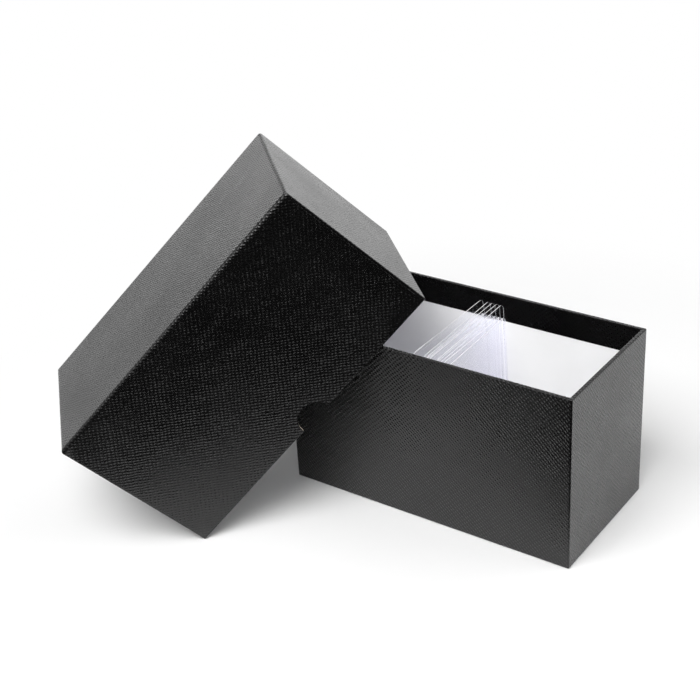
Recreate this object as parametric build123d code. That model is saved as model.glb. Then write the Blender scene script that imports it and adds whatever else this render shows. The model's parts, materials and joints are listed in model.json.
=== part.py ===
from build123d import *
import math
import os
from dataclasses import dataclass

# A rigid card box in two halves: an open base and a deep lift-off lid, both folded up from
# greyboard panels, taped at the corners and wrapped in embossed black paper. The lid stands
# taken off, leaning on the base, and five clear card holders stand in the base.
#
# Frame: +X runs along the long side to the right, +Y from the front to the back, +Z up.
# The origin is the middle of the base's underside. All sizes are in millimetres.

# ---------------------------------------------------------------- papers and board
board = 1.75            # greyboard panels
wrap = 0.25             # embossed covering paper
glue = 0.1              # glue film, with the corner tape in it, between board and wrap
liner = 0.2             # white lining paper
stay = 0.08             # paper tape over each board corner
stay_leg = 13.0         # how far the tape reaches round the corner, each way
stay_inset = 2.5        # how far the tape stops short of the board's edges
turn_in = 17.0          # how far the wrap turns down inside, below the rim
turn_under = 14.0       # how far the wrap turns in under the base
liner_gap = 0.2         # between the turned-in wrap and the lining below it
sheet_inset = 2.4       # how far the bottom sheet stays inside the base's outline
board_fold = 1.4        # radius of the boards where the walls meet the closed face
board_corner = 0.45     # radius of the boards at the upright corners
rim_radius = 0.5        # outside radius of the wrap where it is folded over the rim

# ---------------------------------------------------------------- base
base_length = 188.0
base_width = 91.5
base_height = 109.5

# ---------------------------------------------------------------- lid
lid_clearance = 0.9     # room between the base and the closed lid, on each side
lid_height = 104.0
notch_radius = 10.7     # thumb notch in the middle of each long wall
notch_offset = -3.5     # notch centre from the middle of the wall
lid_turn = 46.5         # degrees that the leaning lid is turned about the vertical
lid_tilt = 44.7         # degrees that its long edges lean from the horizontal
floor_gap = 0.05        # between the lid's lowest fold and the ground
rim_gap = 0.4           # between the lid's mouth and the rims that it leans on

# ---------------------------------------------------------------- card holders
holder_width = 80.0
holder_height = 102.0
sheet = 0.4             # one clear sheet
pocket = 0.7            # room for a card between the two sheets
weld = 3.0              # width of the welded border
lip = 8.5               # how much shorter the right-hand sheet is
corner_radius = 4.0     # upper corners of a holder
foot_radius = 2.0       # its lower corners
holder_side_gap = 0.35  # between a holder and the back wall
holder_seat_gap = 0.15  # between a holder and the floor lining
holder_lean = 2.2       # degrees that the holders lean to the left
# each holder's foot at the back wall, from the middle of the box, and its turn in degrees
holder_stands = [(-7.0, 0.45), (-2.1, 2.0), (0.9, 1.3), (4.1, 0.4), (7.0, 1.7)]

# ---------------------------------------------------------------- worked out from those
wall = wrap + glue + board + wrap
lid_length = base_length + 2 * (lid_clearance + wall)
lid_width = base_width + 2 * (lid_clearance + wall)
holder_thickness = 2 * sheet + pocket
beyond = 1.0            # how far a cutter runs past what it cuts


@dataclass
class Tray:
    """An open box with its closed face on z = 0 and its mouth upwards, centred on x and y."""
    length: float       # over the wrap
    width: float        # over the wrap
    height: float       # from the closed face to the rim
    side_start: float   # height at which the side wrap starts

    @property
    def board_start(self):
        return self.side_start + wrap

    @property
    def boards_length(self):
        return self.length - 2 * (wrap + glue)

    @property
    def boards_width(self):
        return self.width - 2 * (wrap + glue)

    @property
    def inside_length(self):
        return self.boards_length - 2 * board

    @property
    def inside_width(self):
        return self.boards_width - 2 * board

    @property
    def mouth_length(self):
        return self.inside_length - 2 * wrap

    @property
    def mouth_width(self):
        return self.inside_width - 2 * wrap

    @property
    def board_top(self):
        return self.height - wrap

    @property
    def floor_top(self):
        return self.board_start + board + liner

    def around_boards(self, film):
        """The outside of the boards, with a film of that thickness over them, cut off at the rim."""
        return folded_block(
            self.boards_length + 2 * film,
            self.boards_width + 2 * film,
            self.board_start - film,
            self.board_top,
            fold=board_fold + film,
            corner=board_corner + film,
        )


base = Tray(base_length, base_width, base_height, side_start=wrap)
lid = Tray(lid_length, lid_width, lid_height, side_start=0.0)


def block(size_x, size_y, low, high, x=0.0, y=0.0):
    """A box centred on (x, y), from height low to height high."""
    middle = (Align.CENTER, Align.CENTER, Align.MIN)
    return Pos(x, y, low) * Box(size_x, size_y, high - low, align=middle)


def folded_block(size_x, size_y, low, high, fold, corner):
    """A block with round upright corners, and a larger radius round its lower face."""
    whole = block(size_x, size_y, low, high)
    shape = fillet(whole.edges().filter_by(Axis.Z), corner)
    for axis in (Axis.X, Axis.Y):
        lower = whole.edges().filter_by(axis).group_by(Axis.Z)[0]
        shape = shape & fillet(lower, fold)
    return shape


# ---------------------------------------------------------------- greyboard panels
def floor_board(tray):
    return block(tray.inside_length, tray.inside_width, tray.board_start, tray.board_start + board)


def long_board(tray, side):
    y = side * (tray.boards_width - board) / 2
    panel = block(tray.boards_length, board, tray.board_start, tray.board_top, y=y)
    return panel & tray.around_boards(0)


def end_board(tray, side):
    x = side * (tray.boards_length - board) / 2
    panel = block(board, tray.inside_width, tray.board_start, tray.board_top, x=x)
    return panel & tray.around_boards(0)


def corner_stay(tray, side_x, side_y):
    """Paper tape folded round one upright corner of the boards."""
    low = tray.board_start + stay_inset
    high = tray.board_top - stay_inset
    size = stay_leg + stay
    x = side_x * (tray.boards_length / 2 + stay - size / 2)
    y = side_y * (tray.boards_width / 2 + stay - size / 2)
    tape = block(size, size, low, high, x, y) & tray.around_boards(stay)
    return tape - tray.around_boards(0)


# ---------------------------------------------------------------- papers
def covering(tray):
    """The wrap: over the outside, across the rim and a short way down inside."""
    outside = folded_block(
        tray.length,
        tray.width,
        tray.side_start,
        tray.height,
        fold=board_fold + glue + wrap,
        corner=board_corner + glue + wrap,
    )
    for axis in (Axis.X, Axis.Y):
        whole = block(tray.length, tray.width, tray.side_start, tray.height)
        upper = whole.edges().filter_by(axis).group_by(Axis.Z)[-1]
        outside = outside & fillet(upper, rim_radius)
    mouth = block(tray.mouth_length, tray.mouth_width, tray.height - turn_in, tray.height + beyond)
    turned = block(tray.inside_length, tray.inside_width, tray.height - turn_in, tray.height)
    return outside - tray.around_boards(glue) - mouth + (turned - mouth)


def open_underneath(tray, cover):
    """The base's wrap only turns in under the boards, so its middle is open."""
    size_x = tray.length - 2 * turn_under
    size_y = tray.width - 2 * turn_under
    return cover - block(size_x, size_y, tray.side_start - beyond, tray.board_start)


def bottom_sheet(tray):
    return block(tray.length - 2 * sheet_inset, tray.width - 2 * sheet_inset, 0.0, tray.side_start)


def wall_liner(tray):
    low = tray.board_start + board
    high = tray.height - turn_in - liner_gap
    outer = block(tray.inside_length, tray.inside_width, low, high)
    length = tray.inside_length - 2 * liner
    width = tray.inside_width - 2 * liner
    return outer - block(length, width, low - beyond, high + beyond)


def floor_liner(tray):
    low = tray.board_start + board
    length = tray.inside_length - 2 * liner
    width = tray.inside_width - 2 * liner
    return block(length, width, low, low + liner)


def thumb_notches(tray):
    """One cylinder across the tray, which cuts a half round out of both long walls at the rim."""
    through = Cylinder(notch_radius, tray.width + 2 * beyond)
    return Pos(notch_offset, 0, tray.height) * Rot(90, 0, 0) * through


def tray_pieces(tray, name, bottom):
    """The pieces that both halves have, keyed by node name."""
    pieces = {
        f"{name}_{bottom}_board": floor_board(tray),
        f"{name}_front_board": long_board(tray, -1),
        f"{name}_back_board": long_board(tray, 1),
        f"{name}_left_board": end_board(tray, -1),
        f"{name}_right_board": end_board(tray, 1),
        f"{name}_wall_liner": wall_liner(tray),
        f"{name}_{bottom}_liner": floor_liner(tray),
    }
    for side_y, depth in ((-1, "front"), (1, "back")):
        for side_x, hand in ((-1, "left"), (1, "right")):
            pieces[f"{name}_{depth}_{hand}_stay"] = corner_stay(tray, side_x, side_y)
    return pieces


def base_pieces():
    pieces = tray_pieces(base, "base", "bottom")
    pieces["base_side_wrap"] = open_underneath(base, covering(base))
    pieces["base_bottom_sheet"] = bottom_sheet(base)
    return pieces


def lid_pieces():
    pieces = tray_pieces(lid, "lid", "top")
    pieces["lid_wrap"] = covering(lid)
    notches = thumb_notches(lid)
    for name in ("lid_front_board", "lid_back_board", "lid_wrap"):
        pieces[name] = pieces[name] - notches
    return pieces


# ---------------------------------------------------------------- how the lid leans
def meeting_point(planes):
    """The point on three planes, each a normal and its distance from the origin."""
    (n1, d1), (n2, d2), (n3, d3) = planes
    top = n2.cross(n3) * d1 + n3.cross(n1) * d2 + n1.cross(n2) * d3
    return top * (1 / n1.dot(n2.cross(n3)))


def lid_directions():
    """The lid's own x, y and z in the base's frame: x down its long edges, z out of its mouth."""
    turn = math.radians(lid_turn)
    tilt = math.radians(lid_tilt)
    across = Vector(-math.sin(turn), math.cos(turn), 0)
    level = Vector(-math.cos(turn), -math.sin(turn), 0)
    along = level * math.cos(tilt) - Vector(0, 0, 1) * math.sin(tilt)
    return along, across, along.cross(across)


def lean_on_rim(along, rim, mouth_points, rim_points):
    """The plane for the lid's corner that keeps one mouth edge rim_gap off one rim."""
    normal = along.cross(rim).normalized()
    if normal.Z < 0:
        normal = normal * -1
    mouth = min(normal.dot(point) for point in mouth_points)
    top = max(normal.dot(point) for point in rim_points)
    return normal, top + rim_gap - mouth


def lid_plane():
    """The leaning lid's frame: its lower mouth edge is on the ground, and the mouth edges of
    its front and back walls rest on the base's front and left rims."""
    along, across, out = lid_directions()
    deep = out * lid_height
    front = lean_on_rim(
        along,
        Vector(1, 0, 0),
        [deep, deep + across * wall],
        [Vector(0, y, base_height) for y in (-base_width / 2, wall - base_width / 2)],
    )
    left = lean_on_rim(
        along,
        Vector(0, 1, 0),
        [deep + across * lid_width, deep + across * (lid_width - wall)],
        [Vector(x, 0, base_height) for x in (-base_length / 2, wall - base_length / 2)],
    )
    fold_lift = rim_radius * (abs(along.Z) + abs(out.Z) - 1)
    lowest = along * lid_length + deep
    ground = (Vector(0, 0, 1), floor_gap - fold_lift - lowest.Z)
    corner = meeting_point([front, left, ground])
    middle = corner + along * (lid_length / 2) + across * (lid_width / 2)
    return Plane(origin=middle, x_dir=along, z_dir=out)


# ---------------------------------------------------------------- card holders
def holder_blank(thick, x, height):
    """One flat layer of a holder, from the back wall towards the front, with round corners."""
    flat = Pos(x, -holder_width / 2, height / 2) * Box(thick, holder_width, height)
    upright = flat.edges().filter_by(Axis.X).sort_by(Axis.Z)
    flat = fillet(upright[2:], corner_radius)
    lower = flat.edges().filter_by(Axis.X).sort_by(Axis.Z)
    return fillet(lower[:2], foot_radius)


def weld_strips():
    """The welded border on three sides, as three strips, so that the pocket stays open."""
    tall = holder_height - lip
    outline = holder_blank(pocket, 0, tall)
    at_back = Pos(0, -weld / 2, tall / 2) * Box(pocket, weld, tall)
    at_front = Pos(0, weld / 2 - holder_width, tall / 2) * Box(pocket, weld, tall)
    below = Pos(0, -holder_width / 2, weld / 2) * Box(pocket, holder_width - 2 * weld, weld)
    return [(strip & outline).solid() for strip in (at_back, at_front, below)]


def holder_pieces():
    """One holder's solids, upright, with the foot of its back edge at the origin."""
    off = (pocket + sheet) / 2
    return {
        "long_sheet": [holder_blank(sheet, -off, holder_height)],
        "short_sheet": [holder_blank(sheet, off, holder_height - lip)],
        "weld": weld_strips(),
    }


def holder_place(foot_x, turn):
    lean = math.radians(holder_lean)
    drop = holder_thickness / 2 * math.sin(lean)
    y = base.inside_width / 2 - wrap - holder_side_gap
    z = base.floor_top + holder_seat_gap + drop
    return Pos(foot_x, y, z) * Rot(0, 0, turn) * Rot(0, -holder_lean, 0)


# ---------------------------------------------------------------- the whole object
def all_pieces():
    pieces = base_pieces()
    standing = lid_plane().location
    for name, shape in lid_pieces().items():
        pieces[name] = standing * shape
    for number, (foot_x, turn) in enumerate(holder_stands, start=1):
        place = holder_place(foot_x, turn)
        for layer, solids in holder_pieces().items():
            pieces[f"holder_{number}_{layer}"] = Compound([place * solid for solid in solids])
    return pieces


os.makedirs("parts", exist_ok=True)
for node, shape in all_pieces().items():
    export_step(shape, f"parts/{node}.step")

# where the loose bodies stand: the lid is drawn off along its frame's -z, a holder along its +z
print("lid frame", lid_plane())
for number, (foot_x, turn) in enumerate(holder_stands, start=1):
    print(f"holder {number} frame", Plane(holder_place(foot_x, turn)))
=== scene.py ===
# %% [markdown]
# # A rigid card box with its lid leaning on it
# The box is two open trays of greyboard, each wrapped in black paper that is embossed with a
# cross grain and lined with white. The lid has been taken off and leans on the base, and five
# clear card holders stand inside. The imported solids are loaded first. They stay where they are:
# this script gives them their finishes, and puts finely folded paper in place of the two wraps.

# %% Load the fixed frame
import json
import math

import bmesh
import bpy
import numpy as np
from mathutils import Matrix, Vector


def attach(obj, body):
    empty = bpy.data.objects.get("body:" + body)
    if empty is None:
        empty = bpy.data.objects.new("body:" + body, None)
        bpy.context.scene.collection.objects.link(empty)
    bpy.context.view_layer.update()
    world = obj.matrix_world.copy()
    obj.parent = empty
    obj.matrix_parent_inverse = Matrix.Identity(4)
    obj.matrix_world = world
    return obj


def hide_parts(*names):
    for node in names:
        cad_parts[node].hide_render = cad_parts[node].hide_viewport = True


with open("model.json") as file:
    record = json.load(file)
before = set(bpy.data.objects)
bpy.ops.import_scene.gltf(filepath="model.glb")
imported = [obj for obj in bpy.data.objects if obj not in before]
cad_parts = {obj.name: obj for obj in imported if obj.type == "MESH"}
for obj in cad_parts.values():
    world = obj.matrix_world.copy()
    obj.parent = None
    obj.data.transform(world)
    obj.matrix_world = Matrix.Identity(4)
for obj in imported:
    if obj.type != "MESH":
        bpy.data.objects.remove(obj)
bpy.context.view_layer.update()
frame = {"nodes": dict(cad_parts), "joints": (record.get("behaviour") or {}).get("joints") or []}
nodes = frame["nodes"]
scene = bpy.context.scene
mm = 0.001

# %% [markdown]
# ## Small helpers for places and meshes
# Three parts of this scene read a solid's corners, and three make a mesh point by point. The
# frame gives metres and the paper is drawn in millimetres, so the step from one to the other is
# kept in one place.

# %% Corners in, objects out
def corners(node):
    """A node's vertices in metres, one row each."""
    return np.array([v.co for v in nodes[node].data.vertices], float)


def spread_directions(node):
    """The directions in which a piece's corners spread least to most, one column each."""
    points = np.unique(corners(node).round(6), axis=0)
    return np.linalg.eigh(np.cov((points - points.mean(0)).T))[1]


def as_object(grid, name):
    """Turns a finished bmesh into an object of the scene."""
    mesh = bpy.data.meshes.new(name)
    grid.to_mesh(mesh)
    grid.free()
    piece = bpy.data.objects.new(name, mesh)
    scene.collection.objects.link(piece)
    return piece


def settle(piece):
    """Applies the piece's modifiers, so that its mesh is the one that is shown."""
    shaped = piece.evaluated_get(bpy.context.evaluated_depsgraph_get())
    piece.data = bpy.data.meshes.new_from_object(shaped)
    piece.modifiers.clear()


print("corners of the lid's closed panel:", len(corners("lid_top_board")))

# %% [markdown]
# ## Where each tray sits
# The base stands square to the frame, but the lid leans, so its paper needs the lid's own
# directions. They could be copied from the CAD source as numbers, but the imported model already
# holds them: the joint that draws the lid off runs along its walls, and the corners of its
# closed panel spread widest along its length. The reach of the CAD wrap along those directions
# then gives the tray's size and place.

# %% Directions, sizes and places of the two trays
def panel_axes(panel, out):
    """Along, across and out of a tray, read from the corners of its closed panel."""
    along = spread_directions(panel)[:, 2]
    if along[2] > 0:
        along = -along
    return np.array([along, np.cross(out, along), out])


def tray_place(wrap, axes):
    """(sizes in mm, matrix) of a tray whose closed face lies on its own z = 0, centred."""
    reach = corners(wrap) @ axes.T
    low, high = reach.min(0), reach.max(0)
    middle = axes.T @ np.array([(low[0] + high[0]) / 2, (low[1] + high[1]) / 2, low[2]])
    place = Matrix.Translation(middle) @ Matrix(axes.T.tolist()).to_4x4()
    return tuple((high - low) / mm), place


draw_off = next(j["axis"] for j in frame["joints"] if j["name"] == "lid_off")
lid_axes = panel_axes("lid_top_board", -np.array(draw_off, float))
lid_size, lid_place = tray_place("lid_wrap", lid_axes)
base_size, base_place = tray_place("base_side_wrap", np.eye(3))
print("lid", np.round(lid_size, 2), "base", np.round(base_size, 2), "mm")

# %% [markdown]
# ## The paper as a folded skin
# On the real box one sheet of paper is glued over the boards: it bends round the closed face's
# edges, runs up the walls, folds over the rim and turns down inside. A solidified box would give
# sharp, even edges. Here the paper's section is drawn once, as a path of insets and heights with
# an arc at each fold, and carried round the four walls as rings of points. Every face keeps its
# place on the flat sheet as a UV in millimetres, so that the grain runs over the folds as it does
# on the real sheet.

# %% The folds' sizes, in millimetres
paper = 0.25
wall = 2.35             # paper, glue, board and paper again
lid_fold = 2.2          # outside radius where the lid's walls meet its closed face
base_fold = 0.7         # the base stands on this fold, and it is pressed sharper
upright_fold = 0.8      # outside radius of the upright corners
rim_fold = 0.5
inner_rim_fold = 0.45
inner_corner = 0.3
turn_in = 17.0          # how far the paper turns down inside
turn_under = 14.0       # how far the base's paper turns in under the boards
lap_back = 1.5          # the long walls' paper stops this far from the corner
lap_step = 0.22         # and lies this much proud of the sheet that comes round it
board_gap = 0.02        # the turned-in paper's clearance from the boards
rim_paper = 0.24        # depth of the glued side below the rim
rim_start = 0.3         # inset at which the glued side leaves the rim
glued_step = 1.0        # and how far down it reaches the wall's glued side
rim_middle = 1.2        # inset of the ring along the middle of the rim
fold_end = 0.8          # distance of the first ring from each fold
wall_step, band_step = 9.0, 5.0     # distance between rings on the walls and on the band
panel_start = 8.0       # inset of the ring that the closed face's middle fills


def arc(centre, radius, start, end, steps):
    """Points on a fold: the section's (inset, height), from one angle to another in degrees."""
    angles = [math.radians(start + (end - start) * i / steps) for i in range(steps + 1)]
    return [(centre[0] + radius * math.cos(a), centre[1] + radius * math.sin(a)) for a in angles]


def rise(low, high, step):
    """Heights strictly between two others, close together next to both ends."""
    count = max(2, round((high - low) / step))
    even = [low + (high - low) * i / count for i in range(1, count)]
    return [low + fold_end] + even + [high - fold_end]


def outer_section(height, start, fold):
    """The side of the paper that shows, from the closed face to the end of the turned-in band."""
    path = [(start, 0.0), (fold + 1.0, 0.0)]
    path += arc((fold, fold), fold, -90, -180, 8)
    path += [(0.0, z) for z in rise(fold, height - rim_fold, wall_step)]
    path += arc((rim_fold, height - rim_fold), rim_fold, 180, 90, 6)
    inner = (wall - inner_rim_fold, height - inner_rim_fold)
    path += [(rim_middle, height)] + arc(inner, inner_rim_fold, 90, 0, 5)
    path += [(wall, z) for z in reversed(rise(height - turn_in, inner[1], band_step))]
    return path + [(wall, height - turn_in)]


def inner_section(height, start, fold):
    """The glued side of the paper, back from the end of the band to the closed face."""
    band = wall - paper + board_gap
    under_rim = height - rim_paper
    path = [(band, height - turn_in), (band, under_rim), (rim_start, under_rim)]
    path += [(paper, height - glued_step), (paper, fold)]
    path += arc((fold, fold), fold - paper, 180, 270, 4)[1:]
    return path + [(start, paper)]


for title, draw in (("outer", outer_section), ("inner", inner_section)):
    print(title, "section:", len(draw(lid_size[2], panel_start, lid_fold)), "points")

# %% [markdown]
# ## From the section to a tray
# A ring is the tray's outline at one inset: four straight runs joined by round corners. Each side
# is made from corner to corner, because that is also how the paper is cut. On the lid the long
# walls' paper ends just short of the corner, over the flap that comes round from the end wall,
# and that low step is the thin line along the box's upright edges. The base's paper is one strip
# that goes all the way round, so it has no such step.

# %% Rings of points
corner_steps = 4
lap_bevel = 0.14        # width of the slope at the lap's edge, in mm
lap_fade = 2.5          # the lap starts and ends over this height, in mm
cell = 8                # length of one face along a side, in mm
# each side of a tray: the direction it runs in, and the direction it faces
sides = (((1, 0), (0, -1)), ((0, 1), (1, 0)), ((-1, 0), (0, 1)), ((0, -1), (-1, 0)))


def along_side(run, out, corner, step, count):
    """One side of a ring, from corner to corner: (along, outward, distance on the paper)."""
    reach, edge = run - corner, run - lap_back
    half = []
    for i in range(corner_steps, -1, -1):
        turn = math.pi / 4 * i / corner_steps
        outward = out - step - corner * (1 - math.cos(turn))
        half.append((-reach - corner * math.sin(turn), outward, -reach - corner * turn))
    half += [(-edge, out - step, -edge), (lap_bevel - edge, out, lap_bevel - edge)]
    flat = [-edge + 2 * edge * i / count for i in range(1, count)]
    other = [(-along, outward, -distance) for along, outward, distance in reversed(half)]
    return half + [(t, out, t) for t in flat] + other


def ring(size, inset, corner, step):
    """The four sides of the tray's outline at one inset. Neighbours share their end points."""
    half_x, half_y = size[0] / 2 - inset, size[1] / 2 - inset
    long_side = along_side(half_x, half_y, corner, step, round(size[0] / cell))
    end_side = along_side(half_y - step, half_x, corner, 0.0, round(size[1] / cell))
    return [long_side, end_side, long_side, end_side]


def place_on_sheet(size, layout, number, along, travel):
    """A point's place on the flat sheet, in mm: a cross of five panels, or one long strip."""
    (run_x, run_y), (out_x, out_y) = sides[number]
    if layout == "strip":
        middles = (0.0, (size[0] + size[1]) / 2, size[0] + size[1], -(size[0] + size[1]) / 2)
        return middles[number] + along, -travel
    away = size[1 - number % 2] / 2 - lid_fold + travel
    return along * run_x + away * out_x, along * run_y + away * out_y


print("points on a ring:", sum(len(side) - 1 for side in ring(lid_size, 0, upright_fold, 0)))


# %% [markdown]
# ## The rings joined into paper
# The rings are joined two by two. The lid's paper also covers the closed face, so its first and
# last rings are filled. The base's paper leaves it open, and its last ring joins the first again.
# The grain is rubbed on the folds, so each point also keeps how close to a fold it is.

# %% The folded paper as a mesh
fold_reach = 2.2        # how far from a fold the paper is still rubbed, in mm


def corner_at(inset):
    """The upright corner's radius at an inset: it shrinks inwards, and stays a little round."""
    return max(upright_fold - inset, inner_corner)


def lap_at(height, top):
    """How far the corner flap lies below the long wall's paper: nothing where the sheet is whole."""
    free = min(height - lid_fold, top - rim_fold - height)
    return lap_step * min(1.0, max(0.0, free / lap_fade))


def fold_share(point, size):
    """1 on a fold of the paper, where it is stretched and rubbed, falling to 0 on the panels."""
    to_end = min(point.z, size[2] - point.z)
    gaps = sorted((size[0] / 2 - abs(point.x), size[1] / 2 - abs(point.y), to_end))
    return max(0.0, 1.0 - max(gaps[1], 0.0) / fold_reach)


def draw_rings(grid, size, start, fold, lapped):
    """The section carried round the tray: (points, outline, distance on the paper) per ring."""
    outside = outer_section(size[2], start, fold)
    section = outside + inner_section(size[2], start, fold)
    rings, travel = [], 0.0
    for number, (inset, height) in enumerate(section):
        on_wall = lapped and inset < 0.01 and number < len(outside)
        outline = ring(size, inset, corner_at(inset), lap_at(height, size[2]) if on_wall else 0.0)
        travel += math.dist(section[number], section[max(number - 1, 0)])
        points = []
        for side, ((run_x, run_y), (out_x, out_y)) in zip(outline, sides):
            for along, outward, _ in side[:-1]:
                spot = (along * run_x + outward * out_x, along * run_y + outward * out_y, height)
                points.append(grid.verts.new(spot))
        rings.append((points, outline, travel))
    return rings


def join_rings(grid, sheet_uv, size, layout, low, high):
    """The faces between two rings, each with its place on the flat sheet."""
    first = 0
    for number, (low_side, high_side) in enumerate(zip(low[1], high[1])):
        for i in range(len(low_side) - 1):
            a, b = first + i, (first + i + 1) % len(low[0])
            face = grid.faces.new((low[0][a], low[0][b], high[0][b], high[0][a]))
            on_paper = ((low_side[i], low[2]), (low_side[i + 1], low[2]),
                        (high_side[i + 1], high[2]), (high_side[i], high[2]))
            for loop, (point, travel) in zip(face.loops, on_paper):
                loop[sheet_uv].uv = place_on_sheet(size, layout, number, point[2], travel)
        first += len(low_side) - 1


def folded_paper(name, size, place, layout, start, fold, lapped):
    """One tray's paper. A cross-shaped sheet covers the closed face, a strip leaves it open."""
    grid = bmesh.new()
    sheet_uv = grid.loops.layers.uv.new("sheet")
    folded = grid.verts.layers.float.new("fold")
    rings = draw_rings(grid, size, start, fold, lapped)
    following = rings[1:] + (rings[:1] if layout == "strip" else [])
    for low, high in zip(rings, following):
        join_rings(grid, sheet_uv, size, layout, low, high)
    if layout == "cross":
        for points in (rings[0][0], rings[-1][0]):
            for loop in grid.faces.new(points).loops:
                loop[sheet_uv].uv = loop.vert.co.xy
    for vert in grid.verts:
        vert[folded] = fold_share(vert.co, size)
    bmesh.ops.recalc_face_normals(grid, faces=grid.faces)
    grid.transform(place @ Matrix.Scale(mm, 4))
    return as_object(grid, name)


lid_paper = folded_paper(
    "lid_paper", lid_size, lid_place, "cross", panel_start, lid_fold, lapped=True)
base_paper = folded_paper(
    "base_paper", base_size, base_place, "strip", turn_under, base_fold, lapped=False)
for piece in (lid_paper, base_paper):
    print(piece.name, "faces", len(piece.data.polygons))

# %% [markdown]
# ## The thumb notches
# A half-round notch is punched through both long walls of the lid, paper and board together. The
# CAD boards already have it, so the paper only needs the same cut. A Boolean with one long
# cutter does both walls at once. The punch pulls the paper's edge in a little on the outside,
# so the cutter flares where it leaves the wall.

# %% Cut the notches into the lid's paper
notch_radius, notch_offset, notch_flare = 10.7, -3.5, 0.18
notch_steps = 96
overshoot = 2.0         # how far the cutter sticks out of the walls


def notch_cutter(size, place):
    """A cylinder across the tray at the rim, a little wider at the walls' outer faces."""
    grid = bmesh.new()
    out = size[1] / 2
    stations = [(-out - overshoot, notch_flare), (-out, notch_flare), (paper - out, 0.0)]
    stations += [(-y, flare) for y, flare in reversed(stations)]
    turns = [2 * math.pi * i / notch_steps for i in range(notch_steps)]
    rings = []
    for y, flare in stations:
        radius = notch_radius + flare
        rings.append([
            grid.verts.new((notch_offset + radius * math.cos(a), y, size[2] + radius * math.sin(a)))
            for a in turns
        ])
    for low, high in zip(rings, rings[1:]):
        for i in range(notch_steps):
            j = (i + 1) % notch_steps
            grid.faces.new((low[i], low[j], high[j], high[i]))
    grid.faces.new(rings[0])
    grid.faces.new(rings[-1])
    bmesh.ops.recalc_face_normals(grid, faces=grid.faces)
    grid.transform(place @ Matrix.Scale(mm, 4))
    return as_object(grid, "notch_cutter")


cutter = notch_cutter(lid_size, lid_place)
cut = lid_paper.modifiers.new("notch", "BOOLEAN")
cut.object, cut.operation, cut.solver = cutter, "DIFFERENCE", "EXACT"
settle(lid_paper)
bpy.data.objects.remove(cutter)
for piece, node, body in ((lid_paper, "lid_wrap", "lid"), (base_paper, "base_side_wrap", "base")):
    piece.data.shade_smooth()
    piece.data.set_sharp_from_angle(angle=math.radians(32))
    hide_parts(node)
    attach(piece, body)
    print(piece.name, "faces", len(piece.data.polygons))

# %% [markdown]
# ## Building materials from nodes
# Each finish is a small tree of shader nodes. Typing every node and link out would hide what the
# tree does, so one helper places a node, sets its plain values and links its inputs in one line.
# An effect that several papers share, such as the embossed grain, is a node group with named
# inputs, so that each paper can use it with its own pitch and depth.

# %% Helpers for nodes
def feed(tree, node, inputs):
    """Fills a node's inputs. One given as a socket is linked, and any other is set."""
    for key, value in inputs.items():
        if isinstance(value, bpy.types.NodeSocket):
            tree.links.new(value, node.inputs[key])
        else:
            node.inputs[key].default_value = value


def put(tree, kind, inputs=None, **settings):
    """Adds a shader node with its settings and inputs."""
    node = tree.nodes.new("ShaderNode" + kind)
    for key, value in settings.items():
        setattr(node, key, value)
    feed(tree, node, inputs or {})
    return node


def sum_up(tree, operation, first, second=0.0, third=0.0):
    """One Math node's result."""
    return put(tree, "Math", {0: first, 1: second, 2: third}, operation=operation).outputs[0]


def flip(tree, value):
    """1 minus a value."""
    return sum_up(tree, "SUBTRACT", 1.0, value)


def vector_math(tree, operation, first, second):
    """One Vector Math node on two vectors."""
    return put(tree, "VectorMath", {0: first, 1: second}, operation=operation).outputs


def scaled(tree, vector, factor):
    """A vector or colour times one number."""
    return put(tree, "VectorMath", {0: vector, "Scale": factor}, operation="SCALE").outputs[0]


def spread_over(tree, value, low, high):
    """A 0 to 1 mask turned into a range of values."""
    node = put(tree, "MapRange", {"Value": value, "To Min": low, "To Max": high})
    return node.outputs["Result"]


def mask(tree, value, start, end, way="LINEAR"):
    """0 where a value is below the start, 1 above the end, and a way between them."""
    node = put(tree, "MapRange", {"Value": value, "From Min": start, "From Max": end},
               interpolation_type=way)
    return node.outputs["Result"]


def noise(tree, place, scale, detail, roughness=0.5):
    """A noise texture's 0 to 1 value."""
    node = put(tree, "TexNoise", {
        "Vector": place, "Scale": scale, "Detail": detail, "Roughness": roughness})
    return node.outputs["Fac"]


def blend(tree, factor, first, second):
    """A colour mixed from two. They are the Mix node's inputs 6 and 7 and its output 2."""
    node = put(tree, "Mix", {"Factor": factor, 6: first, 7: second}, data_type="RGBA")
    return node.outputs[2]


def own_place(tree):
    """The shaded point's place in the piece's own frame, in millimetres."""
    return scaled(tree, put(tree, "TexCoord").outputs["Object"], 1 / mm)


def show(tree, surface):
    """Makes a shader the one that the material shows."""
    tree.links.new(surface, tree.nodes["Material Output"].inputs["Surface"])


def new_group(name, inputs, outputs):
    """An empty node group, with the sockets that feed it and that it fills."""
    group = bpy.data.node_groups.new(name, "ShaderNodeTree")
    for label, kind, value in inputs:
        socket = group.interface.new_socket(label, in_out="INPUT", socket_type="NodeSocket" + kind)
        if value is not None:
            socket.default_value = value
    for label, kind in outputs:
        group.interface.new_socket(label, in_out="OUTPUT", socket_type="NodeSocket" + kind)
    given = group.nodes.new("NodeGroupInput").outputs
    made = group.nodes.new("NodeGroupOutput").inputs
    return group, given, made


def use_group(tree, group, inputs):
    """Places a node group with its own values and gives its outputs."""
    node = tree.nodes.new("ShaderNodeGroup")
    node.node_tree = group
    feed(tree, node, inputs)
    return node.outputs


# %% [markdown]
# ## Shared effects
# The paper is embossed with a cross grain: short wavy dashes in rows at 45 degrees to the box's
# edges, crossed by a coarser set, and stronger in some places than in others. A picture of the
# grain would repeat, and a plain wave texture looks woven. So the sheet's own millimetres are
# bent a little by noise, turned by 45 degrees and put through two sets of waves, and noise that
# is drawn out along the rows breaks the ridges into dashes.

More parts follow.
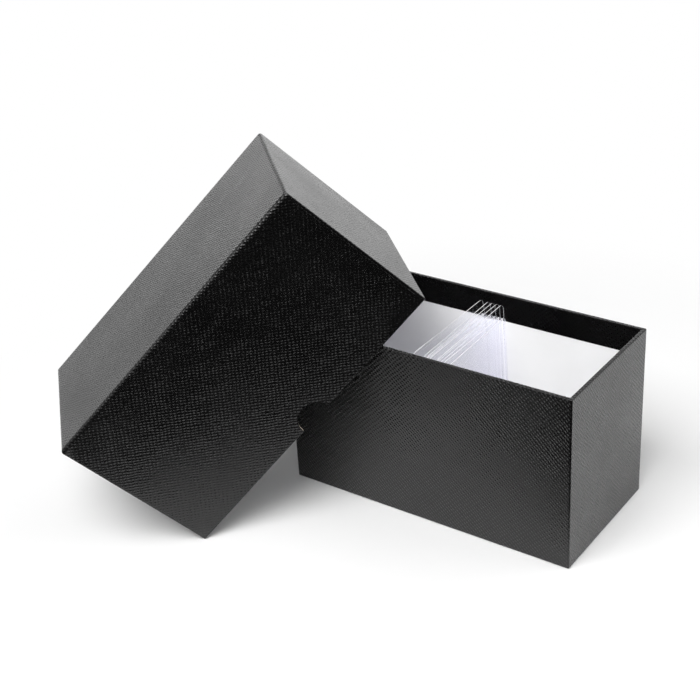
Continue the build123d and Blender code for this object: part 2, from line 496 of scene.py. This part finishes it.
# %% Group: embossed grain
grain, given, made = new_group(
    "embossed grain",
    [("Sheet", "Vector", None), ("Row Pitch", "Float", 1.8), ("Column Pitch", "Float", 2.17),
     ("Wander", "Float", 0.4), ("Patchiness", "Float", 0.25)],
    [("Height", "Float"), ("Patches", "Float")],
)
bends = put(grain, "TexNoise", {"Vector": given["Sheet"], "Scale": 0.22, "Detail": 2.0})
centred = vector_math(grain, "SUBTRACT", bends.outputs["Color"], (0.5, 0.5, 0.5))[0]
shift = scaled(grain, centred, sum_up(grain, "MULTIPLY", given["Wander"], 4.0))
bent = vector_math(grain, "ADD", given["Sheet"], shift)[0]
turned = put(grain, "VectorRotate", {"Vector": bent, "Angle": math.pi / 4}, rotation_type="Z_AXIS").outputs[0]
axes = put(grain, "SeparateXYZ", {0: turned}).outputs
ridges = {}
for axis, pitch in (("X", "Row Pitch"), ("Y", "Column Pitch")):
    turns = sum_up(grain, "DIVIDE", axes[axis], given[pitch])
    wave = sum_up(grain, "COSINE", sum_up(grain, "MULTIPLY", turns, 2 * math.pi))
    ridges[axis] = sum_up(grain, "MULTIPLY_ADD", wave, 0.5, 0.5)
drawn_out = vector_math(grain, "MULTIPLY", turned, (1.0, 0.45, 1.0))[0]
dashes = noise(grain, drawn_out, 0.95, 2.0)
patch = mask(grain, noise(grain, given["Sheet"], 0.09, 2.0), 0.36, 0.64)
rows = sum_up(grain, "MULTIPLY_ADD", ridges["X"], 0.9, 0.1)
columns = sum_up(grain, "MULTIPLY_ADD", ridges["Y"], 0.8, 0.2)
crossed = sum_up(grain, "MULTIPLY", rows, columns)
broken = sum_up(grain, "MULTIPLY_ADD", dashes, 0.45, crossed)
weak = flip(grain, given["Patchiness"])
force = put(grain, "Mix", {"Factor": patch, "A": weak, "B": 1.0}).outputs["Result"]
grain.links.new(sum_up(grain, "MULTIPLY", broken, force), made["Height"])
grain.links.new(patch, made["Patches"])
print("grain group:", len(grain.nodes), "nodes")

# %% Group: tone drift, the slow change of shade over a sheet
drift, given, made = new_group(
    "tone drift",
    [("Place", "Vector", None), ("Size", "Float", 40.0), ("Low", "Float", 0.9), ("High", "Float", 1.1)],
    [("Share", "Float")],
)
cloud = noise(drift, given["Place"], sum_up(drift, "DIVIDE", 1.0, given["Size"]), 3.0)
even = put(drift, "MapRange", {
    "Value": cloud, "From Min": 0.3, "From Max": 0.7,
    "To Min": given["Low"], "To Max": given["High"]})
drift.links.new(even.outputs["Result"], made["Share"])

# %% Group: paper fibres, short and fine in every direction
fibres, given, made = new_group(
    "paper fibres",
    [("Place", "Vector", None), ("Length", "Float", 1.2)],
    [("Height", "Float"), ("Flecks", "Float")],
)
pitch = sum_up(fibres, "DIVIDE", 1.0, given["Length"])
threads = []
for turn in (0.4, 1.5, 2.6):
    laid = put(fibres, "VectorRotate", {
        "Vector": given["Place"], "Axis": (0.5, 0.6, 0.62), "Angle": turn}, rotation_type="AXIS_ANGLE")
    thin = vector_math(fibres, "MULTIPLY", laid.outputs[0], (1.0, 5.0, 5.0))[0]
    threads.append(noise(fibres, thin, pitch, 2.0))
woven = sum_up(fibres, "MAXIMUM", sum_up(fibres, "MAXIMUM", threads[0], threads[1]), threads[2])
specks = noise(fibres, given["Place"], sum_up(fibres, "MULTIPLY", pitch, 2.0), 1.0)
fibres.links.new(woven, made["Height"])
fibres.links.new(mask(fibres, specks, 0.66, 0.76), made["Flecks"])

# %% Group: fine scuffs, the hairlines on plastic that is slid in and out
scuffs, given, made = new_group(
    "fine scuffs",
    [("Place", "Vector", None), ("Amount", "Float", 0.5)],
    [("Marks", "Float")],
)
rubbed = vector_math(scuffs, "MULTIPLY", given["Place"], (1.0, 0.9, 0.07))[0]
lines = mask(scuffs, noise(scuffs, rubbed, 1.4, 4.0, 0.7), 0.56, 0.7)
haze = noise(scuffs, given["Place"], 0.06, 2.0)
marks = sum_up(scuffs, "MULTIPLY", sum_up(scuffs, "MULTIPLY", lines, haze), given["Amount"])
scuffs.links.new(marks, made["Marks"])
print("groups:", [g.name for g in bpy.data.node_groups])

# %% [markdown]
# ## The papers, the board and the plastic
# The black paper is dyed through and hardly scatters any light, so almost all of its tone is a
# soft reflection: the same paper looks nearly black where it faces the dark front of the room,
# and grey where it faces the pale back. A dark base colour with the right roughness and a real
# bump gives that by itself. The grain is flattened a little on the folds. The band that is
# turned in inside the rim gets a copy of the paper that hardly shines: painted shade, for the
# shadow that falls inside the box.

# %% Black embossed paper
def new_material(name, inputs):
    """A material with one Principled shader, its plain values set."""
    material = bpy.data.materials.new(name)
    material.use_nodes = True
    tree = material.node_tree
    tree.nodes.clear()
    put(tree, "OutputMaterial")
    shader = put(tree, "BsdfPrincipled", inputs)
    show(tree, shader.outputs[0])
    return material, tree, shader


def embossed_paper(name, on_sheet, depth, low_roughness, high_roughness, gloss=0.5):
    """The covering paper, by its place on the flat sheet or by the solid's own place."""
    material, tree, shader = new_material(name, {"IOR": 1.5, "Specular IOR Level": gloss})
    place = put(tree, "UVMap", uv_map="sheet").outputs["UV"] if on_sheet else own_place(tree)
    pressed = use_group(tree, grain, {"Sheet": place})
    shade = use_group(tree, drift, {"Place": place, "Size": 55.0, "Low": 0.85, "High": 1.15})
    fold = put(tree, "Attribute", attribute_name="fold").outputs["Fac"]
    dye = scaled(tree, black_dye, shade["Share"])
    rough = spread_over(tree, pressed["Height"], high_roughness, low_roughness)
    rough = sum_up(tree, "MULTIPLY", rough, shade["Share"])
    flat = sum_up(tree, "MULTIPLY_ADD", fold, -fold_flattening, 1.0)
    relief = sum_up(tree, "MULTIPLY", pressed["Height"], flat)
    bump = put(tree, "Bump", {"Height": relief, "Distance": depth * mm, "Strength": 1.0})
    feed(tree, shader, {"Base Color": dye, "Roughness": rough, "Normal": bump.outputs[0]})
    return material


def turned_in(face, back, size):
    """Whether a face of the paper lies on the band inside the rim."""
    spot = back @ face.center / mm
    inset = min(size[0] / 2 - abs(spot.x), size[1] / 2 - abs(spot.y))
    return inset > wall - 0.1 and spot.z > size[2] - turn_in - 0.1


black_dye = (0.0018, 0.0017, 0.0018)
fold_flattening = 0.35
cover = embossed_paper("black_cover_paper", True, 0.22, 0.24, 0.34)
# the band inside the rim: a copy that hardly shines, painted shade for the shadow inside the box
painted_shade_band = embossed_paper("black_paper_pressed_flat", True, 0.05, 0.24, 0.32, gloss=0.08)
under_sheet = embossed_paper("black_bottom_paper", False, 0.12, 0.42, 0.56)
for piece, size, place in ((lid_paper, lid_size, lid_place), (base_paper, base_size, base_place)):
    piece.data.materials.clear()
    piece.data.materials.append(cover)
    piece.data.materials.append(painted_shade_band)
    back = place.inverted()
    for face in piece.data.polygons:
        # faces on the band take the less shiny copy, which is painted shade
        face.material_index = int(turned_in(face, back, size))
print("materials:", [m.name for m in (cover, painted_shade_band, under_sheet)])

# %% Lining, greyboard and corner tape
def fibrous(name, colour, fleck_colour, roughness, length, depth, flecks):
    """Plain paper or board: fibres in relief, some of them a different shade."""
    material, tree, shader = new_material(name, {"IOR": 1.45, "Specular IOR Level": 0.3})
    place = own_place(tree)
    laid = use_group(tree, fibres, {"Place": place, "Length": length})
    shade = use_group(tree, drift, {"Place": place, "Size": 30.0, "Low": 0.975, "High": 1.015})
    amount = sum_up(tree, "MULTIPLY", laid["Flecks"], flecks)
    mixed = blend(tree, amount, (*colour, 1), (*fleck_colour, 1))
    rough = spread_over(tree, laid["Height"], roughness + 0.06, roughness - 0.06)
    bump = put(tree, "Bump", {"Height": laid["Height"], "Distance": depth * mm, "Strength": 1.0})
    feed(tree, shader, {
        "Base Color": scaled(tree, mixed, shade["Share"]), "Roughness": rough, "Normal": bump.outputs[0]})
    return material


lining = fibrous("white_lining_paper", (0.9, 0.9, 0.905), (0.84, 0.84, 0.85), 0.62, 0.9, 0.02, 0.35)
board = fibrous("greyboard", (0.47, 0.43, 0.36), (0.30, 0.27, 0.23), 0.82, 1.6, 0.06, 0.8)
tape = fibrous("corner_tape", (0.62, 0.55, 0.42), (0.5, 0.43, 0.32), 0.6, 1.2, 0.03, 0.5)
print("materials:", [m.name for m in (lining, board, tape)])

# %% [markdown]
# ## Clear plastic sheets
# Ten thin sheets stand one behind another, so a ray of light meets twenty surfaces. Each sheet
# tints it only a little and the sum is the lavender shade of the whole stack. The renderer
# gives up after a dozen surfaces unless it is told otherwise, and light from a lamp would count
# as blocked by glass, so the bounce limits are raised and lamps are let straight through. The
# edges get a pale, rough finish: partly the frosted cut edge, partly a painted highlight for the
# light that they gather. So each holder's finish knows which way its sheets face.

# %% Clear plastic
def clear_plastic(name, facing):
    """Rigid clear sheet with hairline scuffs, and with pale edges: partly a frosted cut edge, partly a
    painted highlight.
    """
    material, tree, shader = new_material(name, {
        "Base Color": (0.986, 0.986, 0.999, 1), "IOR": 1.46, "Transmission Weight": 1.0})
    hairlines = use_group(tree, scuffs, {"Place": own_place(tree), "Amount": 0.4})
    feed(tree, shader, {"Roughness": spread_over(tree, hairlines["Marks"], 0.015, 0.15)})
    surface = put(tree, "NewGeometry").outputs["True Normal"]
    along = vector_math(tree, "DOT_PRODUCT", surface, facing)["Value"]
    on_edge = sum_up(tree, "LESS_THAN", sum_up(tree, "ABSOLUTE", along), 0.5)
    # pale, rough edge finish: partly the frosted cut edge, partly a painted highlight
    frosted_edge_and_highlight = put(tree, "BsdfPrincipled", {
        "Base Color": (0.96, 0.96, 0.98, 1), "Roughness": 0.35, "Transmission Weight": 0.25})
    sheet = put(tree, "MixShader", {0: on_edge, 1: shader.outputs[0], 2: frosted_edge_and_highlight.outputs[0]})
    let_through = put(tree, "BsdfTransparent", {"Color": (0.98, 0.98, 0.992, 1)})
    from_lamp = put(tree, "LightPath").outputs["Is Shadow Ray"]
    mix = put(tree, "MixShader", {0: from_lamp, 1: sheet.outputs[0], 2: let_through.outputs[0]})
    show(tree, mix.outputs[0])
    return material


def facing_of(node):
    """The direction a thin sheet faces: the one in which its corners spread least."""
    return tuple(map(float, spread_directions(node)[:, 0]))


plastics = {}
for number in range(1, 6):
    holder = f"holder_{number}"
    plastics[holder] = clear_plastic(f"clear_plastic_{number}", facing_of(holder + "_long_sheet"))
scene.cycles.max_bounces = 40
scene.cycles.transmission_bounces = 36
scene.cycles.glossy_bounces = 6
scene.cycles.diffuse_bounces = 5
scene.cycles.transparent_max_bounces = 48
print("materials:", [m.name for m in plastics.values()])

# %% Every CAD piece that still shows takes its finish
finishes = {"_board": board, "_liner": lining, "_stay": tape, "bottom_sheet": under_sheet}
for name, node in nodes.items():
    by_ending = next((m for ending, m in finishes.items() if name.endswith(ending)), None)
    holder = "_".join(name.split("_")[:2])
    material = plastics.get(holder, by_ending)
    if material:
        node.data.materials.clear()
        node.data.materials.append(material)
print("finished:", sum(bool(node.data.materials) for node in nodes.values()), "CAD pieces")

# %% [markdown]
# ## Floor, room and light
# The box stands on a white table that goes on into a white background. The table is a real
# surface, so that it keeps the box's soft shadows, and towards its edge it passes into plain
# white. Black paper shows the room more than itself, so the room matters: pale panels at the
# left and behind give the grey sheen of the lid and the end wall, and the front is left dark.
# The lamps light an upward face about one and a half times as strongly as its colour asks, and
# the table's white is a little lower for the camera, or its shadows would be lost.

# %% Table
table_radii = (0.12, 0.24, 0.36, 0.5, 0.7, 1.0, 1.5, 2.2)
table_steps = 64
table_middle = 0.02     # metres towards the back
table_drop = 0.00003    # the table lies this little below the box
table_front = 0.118     # how far the white table reaches towards the camera, in reflections
table_seen = 0.82       # the white as the camera sees it, so that the shadows on it show
table_mirrored = 0.98   # and as the black paper mirrors it
to_camera = (0.6, -0.8, 0.0)


def white_table():
    """A round table top with its edge out of the picture."""
    grid = bmesh.new()
    circles = []
    for radius in table_radii:
        turns = [2 * math.pi * i / table_steps for i in range(table_steps)]
        circles.append([
            grid.verts.new((radius * math.cos(a), table_middle + radius * math.sin(a), 0.0))
            for a in turns
        ])
    middle = grid.verts.new((0.0, table_middle, 0.0))
    for i in range(table_steps):
        j = (i + 1) % table_steps
        grid.faces.new((middle, circles[0][i], circles[0][j]))
        for inner, outer in zip(circles, circles[1:]):
            grid.faces.new((inner[i], outer[i], outer[j], inner[j]))
    grid.transform(Matrix.Translation((0, 0, -table_drop)))
    return as_object(grid, "table")


def seen_or_mirrored(tree):
    """Two masks: what the camera sees, straight or through plastic, and what is mirrored."""
    path = put(tree, "LightPath").outputs
    seen = sum_up(tree, "MAXIMUM", path["Is Camera Ray"], path["Is Transmission Ray"])
    return seen, path["Is Glossy Ray"]


def table_finish():
    """Matt white that passes into the white background, and is mirrored only up to its front."""
    material, tree, shader = new_material("white_table", {"Roughness": 0.9, "Specular IOR Level": 0.0})
    own = put(tree, "TexCoord").outputs["Object"]
    away = put(tree, "VectorMath", {0: own}, operation="LENGTH").outputs["Value"]
    forward = vector_math(tree, "DOT_PRODUCT", own, to_camera)["Value"]
    ended = mask(tree, forward, table_front - 0.01, table_front + 0.01)
    seen, glossy = seen_or_mirrored(tree)
    dark_share = sum_up(tree, "MULTIPLY", ended, flip(tree, seen))
    pale = spread_over(tree, glossy, table_seen, table_mirrored)
    feed(tree, shader, {"Base Color": blend(tree, dark_share, pale, (0.02, 0.02, 0.02, 1))})
    seen_white = sum_up(tree, "MULTIPLY", seen, mask(tree, away, 0.22, 0.38, "SMOOTHSTEP"))
    mirrored = sum_up(tree, "MULTIPLY", glossy, flip(tree, ended))
    mirrored_white = sum_up(tree, "MULTIPLY", mirrored, mask(tree, away, 0.30, 0.50, "SMOOTHSTEP"))
    white_share = sum_up(tree, "MAXIMUM", seen_white, mirrored_white)
    glow = put(tree, "Emission", {"Color": (1, 1, 1, 1), "Strength": 1.0})
    mix = put(tree, "MixShader", {0: white_share, 1: shader.outputs[0], 2: glow.outputs[0]})
    show(tree, mix.outputs[0])
    return material


table = white_table()
table.data.materials.append(table_finish())
print("table faces:", len(table.data.polygons))

# %% Lamps
lamp_target = Vector((0, 0, 0.1))
# name, centre, width and height in metres, radiance
lamps = (
    ("front_softbox", (0.1, -1.0, 1.5), 1.3, 1.0, 8.8),
    ("left_softbox", (-0.8, -0.8, 1.4), 0.9, 0.8, 1.4),
    ("back_softbox", (0.2, 1.1, 1.3), 1.2, 0.9, 1.2),
    ("back_right_softbox", (1.1, 0.6, 1.4), 1.0, 0.8, 3.0),
    ("right_fill", (1.0, -1.3, 0.9), 0.8, 0.6, 2.8),
    ("left_fill", (-1.0, -1.3, 0.9), 0.8, 0.6, 1.4),
    ("back_panel", (-0.75, 1.5, 0.38), 0.9, 0.6, 1.2),
    ("left_panel", (-1.4, 0.95, 0.38), 0.9, 0.6, 1.2),
)


def light_panel(name, centre, width, height, radiance):
    """A soft rectangular light that faces the box. Its radiance is 1 where it would look white."""
    lamp = bpy.data.lights.new(name, "AREA")
    lamp.shape, lamp.size, lamp.size_y = "RECTANGLE", width, height
    lamp.energy = radiance * width * height * math.pi
    holder = bpy.data.objects.new(name, lamp)
    scene.collection.objects.link(holder)
    holder.location = centre
    facing = lamp_target - Vector(centre)
    holder.rotation_euler = facing.to_track_quat("-Z", "Y").to_euler()


for lamp in lamps:
    light_panel(*lamp)

# %% Room: dim, darker in front, and white where the camera or a low reflection looks
def plain_light(tree, strength):
    """White light of one strength from every direction."""
    return put(tree, "Background", {"Color": (1, 1, 1, 1), "Strength": strength}).outputs[0]


scene.world = bpy.data.worlds.new("room")
scene.world.use_nodes = True
tree = scene.world.node_tree
tree.nodes.clear()
direction = put(tree, "TexCoord").outputs["Generated"]
height = put(tree, "SeparateXYZ", {0: direction}).outputs["Z"]
towards = vector_math(tree, "DOT_PRODUCT", direction, (0.62, -0.78, 0.0))["Value"]
frontal = mask(tree, towards, -0.1, 0.4, "SMOOTHSTEP")
low = flip(tree, mask(tree, height, 0.16, 0.32, "SMOOTHSTEP"))
sides_and_back = sum_up(tree, "MULTIPLY", flip(tree, frontal), low)
seen, glossy = seen_or_mirrored(tree)
white_share = sum_up(tree, "MAXIMUM", seen, sum_up(tree, "MULTIPLY", glossy, sides_and_back))
dim = put(tree, "MixShader", {0: frontal, 1: plain_light(tree, 0.15), 2: plain_light(tree, 0.03)})
both = put(tree, "MixShader", {0: white_share, 1: dim.outputs[0], 2: plain_light(tree, 1.0)})
tree.links.new(both.outputs[0], put(tree, "OutputWorld").inputs["Surface"])
print("room nodes:", len(tree.nodes))

# %% [markdown]
# ## Camera
# The photograph's camera was worked out from 20 straight edges of the box: it looks down by
# 28.5 degrees, from 36.7 degrees right of the front, rolled by 3.7 degrees.

# %% Camera
azimuth, elevation, roll = (math.radians(angle) for angle in (36.724, 28.522, -3.681))
camera_place = (0.38194, -0.62172, 0.49229)
camera_data = bpy.data.cameras.new("camera")
camera_data.sensor_width, camera_data.lens = 36.0, 73.154
camera_data.clip_start = 0.01
camera = bpy.data.objects.new("camera", camera_data)
scene.collection.objects.link(camera)
level = math.cos(elevation)
backwards = Vector((math.sin(azimuth) * level, -math.cos(azimuth) * level, math.sin(elevation)))
right = Vector((math.cos(azimuth), math.sin(azimuth), 0))
up = backwards.cross(right)
rolled_right = right * math.cos(roll) + up * math.sin(roll)
rolled_up = up * math.cos(roll) - right * math.sin(roll)
turn = Matrix((rolled_right, rolled_up, backwards)).transposed().to_4x4()
camera.matrix_world = Matrix.Translation(camera_place) @ turn
scene.camera = camera
scene.view_settings.view_transform = "Standard"
print("camera at", camera_place)
